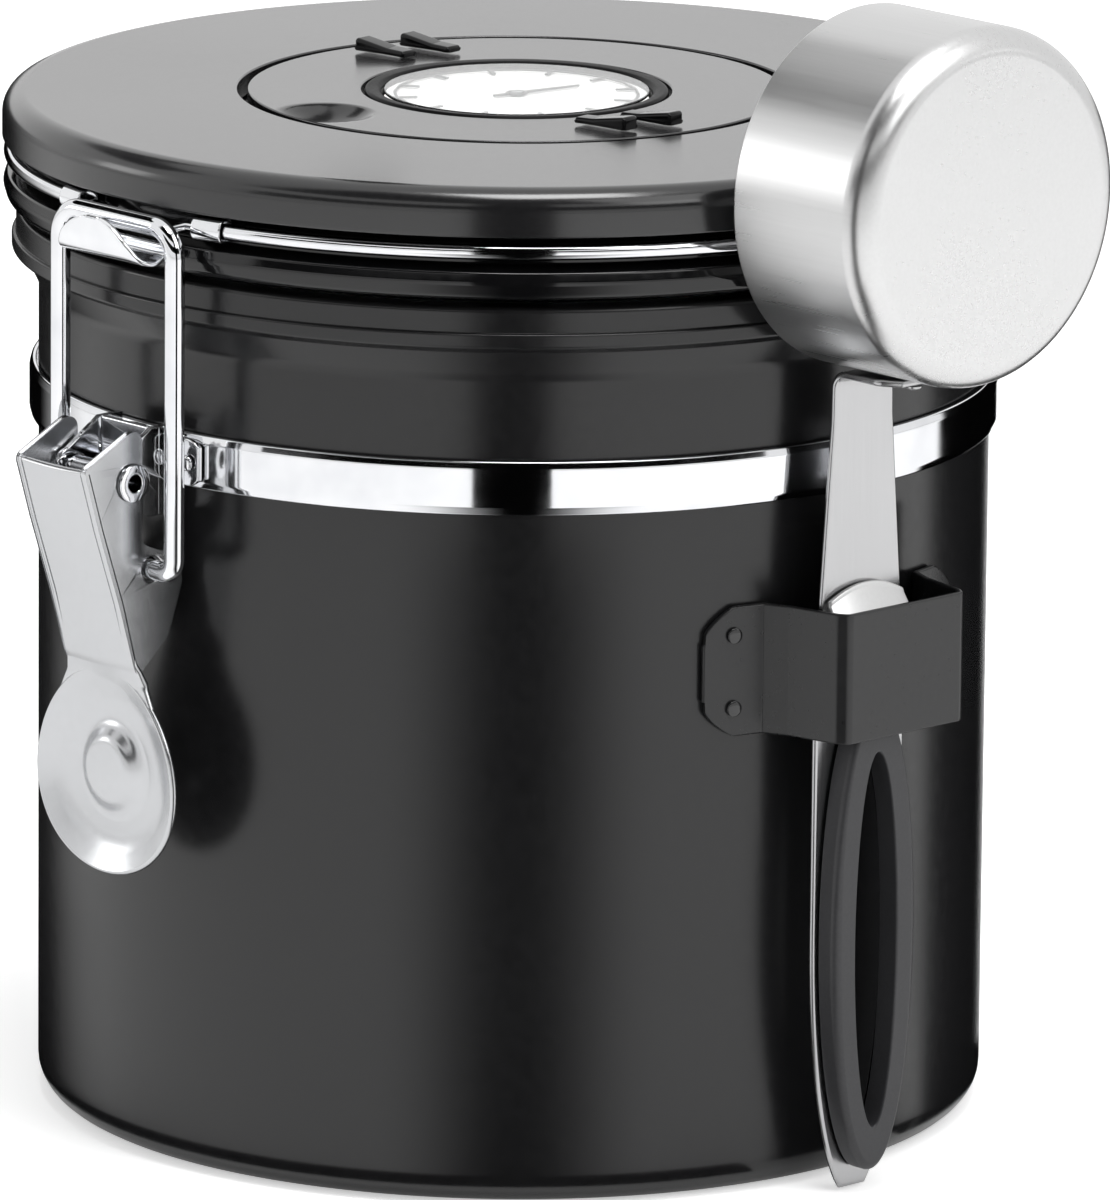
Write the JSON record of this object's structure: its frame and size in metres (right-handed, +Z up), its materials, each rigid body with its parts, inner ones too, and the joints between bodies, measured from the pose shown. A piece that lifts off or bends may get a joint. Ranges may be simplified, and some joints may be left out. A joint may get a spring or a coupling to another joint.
{
  "type": "coffee canister",
  "caption": "Round black food canister with a hinged lid, wire bail latch, date dial on the lid and a measuring scoop held in a side bracket.",
  "frame": {"origin": "centre of the flat underside, on the axis of the body, where the canister stands", "axes": "+Z up along the axis of the body, -Y towards the latch, +Y towards the hinge, +X towards the scoop"},
  "size_m": [0.152, 0.1495, 0.1496],
  "materials": {
    "body_paint": "satin black coating on steel",
    "chrome": "bright plated steel",
    "lid_paint": "satin charcoal coating",
    "black_plastic": "satin moulded",
    "gloss_black": "gloss moulded",
    "silicone": "translucent silicone",
    "white_print": "white dial card",
    "black_print": "black",
    "steel": "turned",
    "clear_lens": "clear",
    "brushed_steel": "satin",
    "grip_plastic": "satin moulded"
  },
  "bodies": {
    "canister": {"canister_body": "body_paint", "body_band": "chrome", "latch_bracket": "chrome", "latch_rivet_left": "chrome", "latch_rivet_right": "chrome", "latch_pivot_pin": "chrome", "hinge_bracket": "chrome", "hinge_rivet_left": "chrome", "hinge_rivet_right": "chrome", "hinge_pin": "chrome", "scoop_bracket": "body_paint", "scoop_weld_left_low": "chrome", "scoop_weld_left_high": "chrome", "scoop_weld_right_low": "chrome", "scoop_weld_right_high": "chrome"},
    "lid": {"lid_hinge_leaf": "chrome", "lid_shell": "lid_paint", "lid_base": "black_plastic", "lid_gasket": "silicone", "lid_ring_wire": "chrome", "ring_ferrule_left": "chrome", "ring_ferrule_right": "chrome", "catch_wire": "chrome", "catch_hook": "chrome", "dial_bezel": "black_plastic", "dial_face": "white_print", "dial_ticks": "black_print", "dial_spindle": "steel", "dial_lens": "clear_lens", "valve_body": "black_plastic", "valve_cap": "black_plastic"},
    "date_ring": {"date_ring": "lid_paint", "date_grip_left_1": "gloss_black", "date_grip_right_1": "gloss_black", "date_grip_left_2": "gloss_black", "date_grip_right_2": "gloss_black"},
    "dial_hand": {"dial_hand": "black_print"},
    "valve_flap": {"valve_flap": "silicone"},
    "latch_lever": {"latch_lever": "chrome"},
    "latch_bail": {"latch_bail": "chrome"},
    "scoop": {"scoop_cup": "brushed_steel", "scoop_handle": "brushed_steel", "scoop_grip": "grip_plastic", "scoop_ferrule": "brushed_steel", "scoop_rivet_1": "brushed_steel", "scoop_rivet_2": "brushed_steel"}
  },
  "joints": [
    {"name": "lid_open", "type": "hinge", "parent": "canister", "child": "lid", "pos_m": [0, 0.069, 0.116], "axis": [-1, 0, 0], "range_deg": [0, 110]},
    {"name": "latch_lever_turn", "type": "hinge", "parent": "canister", "child": "latch_lever", "pos_m": [0, -0.0699, 0.0896], "axis": [-1, 0, 0], "range_deg": [0, 100]},
    {"name": "latch_bail_turn", "type": "hinge", "parent": "latch_lever", "child": "latch_bail", "pos_m": [0, -0.0667, 0.0783], "axis": [-1, 0, 0], "range_deg": [-79, 0]},
    {"name": "date_ring_turn", "type": "hinge", "parent": "lid", "child": "date_ring", "pos_m": [0, 0, 0.129], "axis": [0, 0, 1], "continuous": true},
    {"name": "dial_hand_turn", "type": "hinge", "parent": "lid", "child": "dial_hand", "pos_m": [0, 0, 0.129], "axis": [0, 0, 1], "continuous": true},
    {"name": "valve_lift", "type": "slide", "parent": "lid", "child": "valve_flap", "axis": [0, 0, 1], "range_m": [0, 0.0015]},
    {"name": "scoop_lift", "type": "slide", "parent": "canister", "child": "scoop", "axis": [0, 0, 1], "range_m": [0, 0.085]}
  ],
  "couplings": [
    {"joint": "latch_bail_turn", "follows": "latch_lever_turn", "ratio": -0.79}
  ]
}
